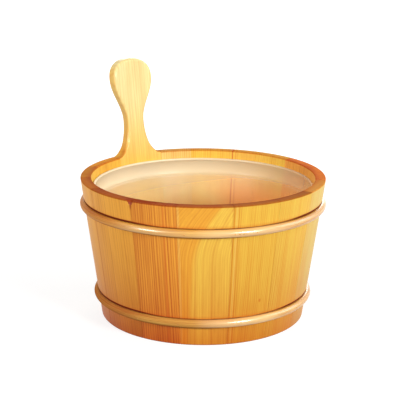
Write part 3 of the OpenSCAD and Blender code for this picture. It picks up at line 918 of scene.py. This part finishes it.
# Looks of the staves, from the handle stave on in turn round the bucket
STAVE_LOOKS = [
    dict(early=colour(246, 210, 94), late=GOLD_LINE, top=CREAM, streaks=0.06, rings=0.25, ring_w=3.2,
         pith=(-70, 30), end_tint=PALE_END, side_tint=HANDLE_SIDE, coat=0.5, coat_roughness=0.12),
    dict(early=HONEY, late=AMBER_LINE, rings=0.6, ring_w=2.4, pith=(60, 12), end_tint=(0.98, 0.72, 0.54)),
    dict(early=GOLD, late=GOLD_LINE, rings=0.6, ring_w=2.6, pith=(-50, 20), end_tint=(0.7, 0.42, 0.32)),
    dict(early=TAN, late=TAN_LINE, rings=0.5, ring_w=2.2, pith=(64, 16), foot_tint=DARK_FOOT,
         end_tint=(0.64, 0.4, 0.3)),
    dict(early=TAN, late=TAN_LINE, rings=0.45, ring_w=3.6, pith=(-70, 22), foot_tint=DARK_FOOT),
    dict(early=ORANGE, late=ORANGE_LINE, rings=0.95, ring_w=2.7, pith=(80, 8), streaks=0.3,
         foot_tint=(0.7, 0.36, 0.26), seams=(0.2, 0), marks=[(9.2, 0.013, 1.8, 0.3, RESIN, 1)]),
    dict(early=colour(238, 175, 60), late=AMBER_LINE, other=GOLD, border=(-17, 0.055, 105, 6.3),
         rings=0.36, ring_w=3.0, pith=(-66, 10), knot=(-6, 171), knot_size=3, seams=(0, 0.2),
         marks=[(-21.7, -0.031, 1.7, 0.1, CREAM, 1)]),
    dict(early=colour(234, 195, 74), late=GOLD_LINE, rings=0.7, ring_w=2.1, pith=(70, 6),
         knot=(10.6, 61), knot_size=1.5, seams=(0.4, 0),
         marks=[(-18.2, -0.024, 1.4, 0.1, CREAM, 1), (-16.2, -0.022, 1.0, 0.45, AMBER_LINE, 1),
                (-14.1, -0.022, 0.8, 0.25, AMBER_LINE, 1)]),
    dict(early=colour(230, 198, 80), late=GOLD_LINE, rings=0.8, ring_w=2.0, pith=(-80, 9), seams=(0, 0)),
    dict(early=colour(222, 204, 110), late=GOLD_LINE, rings=0.6, ring_w=2.4, pith=(62, 14), seams=(0, 0.2),
         end_tint=WARM_END),
    dict(early=colour(250, 184, 80), late=ORANGE_LINE, rings=0.5, ring_w=2.8, pith=(-56, 24),
         end_tint=WARM_END),
    dict(early=colour(250, 180, 80), late=ORANGE_LINE, rings=0.6, ring_w=2.4, pith=(66, 10),
         end_tint=WARM_END),
    dict(early=GOLD, late=GOLD_LINE, rings=0.7, ring_w=2.5, pith=(-60, 14), end_tint=PALE_END),
    dict(early=GOLD, late=GOLD_LINE, rings=0.5, ring_w=2.2, pith=(58, 9), end_tint=PALE_END,
         marks=[(11.7, 0.017, 1.6, 0.65, RESIN, -1), (7.5, 0.017, 1.2, 0.3, RESIN, -1)]),
    dict(early=GOLD, late=GOLD_LINE, rings=0.5, ring_w=2.6, pith=(-72, 7), end_tint=PALE_END,
         marks=[(-19.7, -0.028, 1.6, 0.65, RESIN, -1)]),
    dict(early=PALE, late=GOLD_LINE, rings=0.6, ring_w=2.5, pith=(60, 18), end_tint=PALE_END),
]
BOTTOM_LOOK = dict(early=PALE, late=GOLD_LINE, seed=40.0, rings=0.5, ring_w=3, pith=(0, -60),
                   foot_tint=(0.92, 0.76, 0.56), on_stave=False, coat=0.0)
SEED_STEP = 1.7


# The bucket's pieces

def dress(piece, material):
    piece.data.materials.clear()
    piece.data.materials.append(material)
    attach(piece, "root")


for i, look in enumerate(STAVE_LOOKS):
    dress(stave(i), pine(f"pine_{i:02d}", seed=SEED_STEP * i, **look))
hoop_cane = cane()
dress(cane_hoop("upper_hoop", UPPER_HOOP_Z, UPPER_JOINT_AT), hoop_cane)
dress(cane_hoop("lower_hoop", LOWER_HOOP_Z, LOWER_JOINT_AT), hoop_cane)
brass = brad_metal()
dress(brads("upper_brads", UPPER_HOOP_Z, UPPER_BRADS), brass)
dress(brads("lower_brads", LOWER_HOOP_Z, LOWER_BRADS), brass)
dress(liner_piece(), milky_plastic())

# The bottom boards are the CAD's own
bottom_wood = pine("pine_bottom", **BOTTOM_LOOK)
for i in range(1, 5):
    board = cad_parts[f"bottom_board_{i}"]
    board.data.materials.clear()
    board.data.materials.append(bottom_wood)


# Camera, at the photograph's place

CAMERA_PITCH = 15.08
CAMERA_ROLL = 0.434
CAMERA_DISTANCE = 1.3326
CAMERA_LENS = 112.275
CAMERA_SHIFT_X = -0.0075
SENSOR_W = 36
LOOK_AT_Z = 0.12274


def turned(v, bearing):
    """A vector given with +Y ahead, turned to a bearing round the vertical."""
    angle = math.radians(bearing)
    cos, sin = math.cos(angle), math.sin(angle)
    return np.array([v[0] * cos - v[1] * sin, v[0] * sin + v[1] * cos, v[2]])


def make_camera():
    pitch, roll = math.radians(CAMERA_PITCH), math.radians(CAMERA_ROLL)
    ahead = np.array([0, math.cos(pitch), -math.sin(pitch)])
    level_up = np.array([0, math.sin(pitch), math.cos(pitch)])
    level_right = np.array([1.0, 0, 0])
    right = math.cos(roll) * level_right + math.sin(roll) * level_up
    up = math.cos(roll) * level_up - math.sin(roll) * level_right
    place = np.array([0, AXIS_Y, LOOK_AT_Z]) - CAMERA_DISTANCE * turned(ahead, CAMERA_BEARING)
    columns = [turned(right, CAMERA_BEARING), turned(up, CAMERA_BEARING), -turned(ahead, CAMERA_BEARING)]
    pose = np.eye(4)
    pose[:3, :3] = np.column_stack(columns)
    pose[:3, 3] = place
    data = bpy.data.cameras.new("camera")
    data.lens = CAMERA_LENS
    data.sensor_width = SENSOR_W
    data.shift_x = CAMERA_SHIFT_X
    camera = bpy.data.objects.new("camera", data)
    camera.matrix_world = Matrix(pose.tolist())
    bpy.context.scene.collection.objects.link(camera)
    bpy.context.scene.camera = camera


# Floor, backdrop and lights

SURROUND_LIGHT = 0.22
WHITE = (1, 1, 1, 1)
FLOOR_HALF = 4.0
LAMP_AIM_Z = 0.1


def make_floor():
    """A wide pale floor. The camera sees it lifted to white, more so away from the bucket where the lamps
    fade, and it still takes the bucket's shadow."""
    corners = [(FLOOR_HALF * x, FLOOR_HALF * y, 0) for x, y in ((-1, -1), (1, -1), (1, 1), (-1, 1))]
    mesh = bpy.data.meshes.new("floor")
    mesh.from_pydata(corners, [], [(0, 1, 2, 3)])
    material, tree, shader = surface("floor_paper")
    place = object_place(tree)
    paper = noise(tree, place, (300, 300, 300))[0]
    shade = mixed(tree, paper, (0.3, 0.3, 0.3, 1), (0.32, 0.32, 0.32, 1))
    set_inputs(tree, shader, {"Base Color": shade, "Roughness": 0.9, "Specular IOR Level": 0.1})
    rays = node(tree, "LightPath").outputs
    seen = greatest(tree, rays["Is Camera Ray"], rays["Is Glossy Ray"])
    lift = maths(tree, "MULTIPLY_ADD", between(tree, vectors(tree, "LENGTH", place), 0.2, 1.0), 0.22, 0.78)
    glow = node(tree, "Emission", {"Color": WHITE, "Strength": times(tree, seen, lift)})
    both = node(tree, "AddShader", {0: shader.outputs[0], 1: glow.outputs[0]})
    tree.links.new(both.outputs[0], tree.nodes["Material Output"].inputs["Surface"])
    floor = bpy.data.objects.new("floor", mesh)
    mesh.materials.append(material)
    bpy.context.scene.collection.objects.link(floor)


def make_surround():
    """A white surround: full white to the camera and in reflections, and a plain soft level as light."""
    world = bpy.data.worlds.new("surround")
    world.use_nodes = True
    tree = world.node_tree
    rays = node(tree, "LightPath").outputs
    seen = greatest(tree, rays["Is Camera Ray"], rays["Is Transmission Ray"], rays["Is Glossy Ray"])
    level = maths(tree, "MULTIPLY_ADD", seen, 1 - SURROUND_LIGHT, SURROUND_LIGHT)
    set_inputs(tree, tree.nodes["Background"], {"Color": WHITE, "Strength": level})
    bpy.context.scene.world = world


def softbox(name, bearing, height, distance, size, watts):
    """A square lamp so many degrees round from the camera and up from the floor, facing the bucket's
    middle."""
    data = bpy.data.lights.new(name, "AREA")
    data.shape = "SQUARE"
    data.size = size
    data.energy = watts
    lamp = bpy.data.objects.new(name, data)
    up = math.radians(height)
    back = turned(np.array([0, -math.cos(up), math.sin(up)]), CAMERA_BEARING + bearing)
    lamp.location = np.array([0, AXIS_Y, LAMP_AIM_Z]) + distance * back
    side = unit(np.cross([0, 0, 1], back))
    aim = Matrix(np.column_stack([side, np.cross(back, side), back]).tolist())
    lamp.rotation_euler = aim.to_euler()
    bpy.context.scene.collection.objects.link(lamp)


make_camera()
make_floor()
make_surround()
softbox("key", bearing=40, height=21, distance=1.6, size=0.42, watts=18.5)
softbox("fill", bearing=-50, height=20, distance=1.8, size=0.42, watts=18)
softbox("side", bearing=100, height=26, distance=1.8, size=1.2, watts=13)
softbox("back", bearing=175, height=18, distance=2.0, size=1.4, watts=16)

bpy.context.scene.view_settings.view_transform = "Standard"
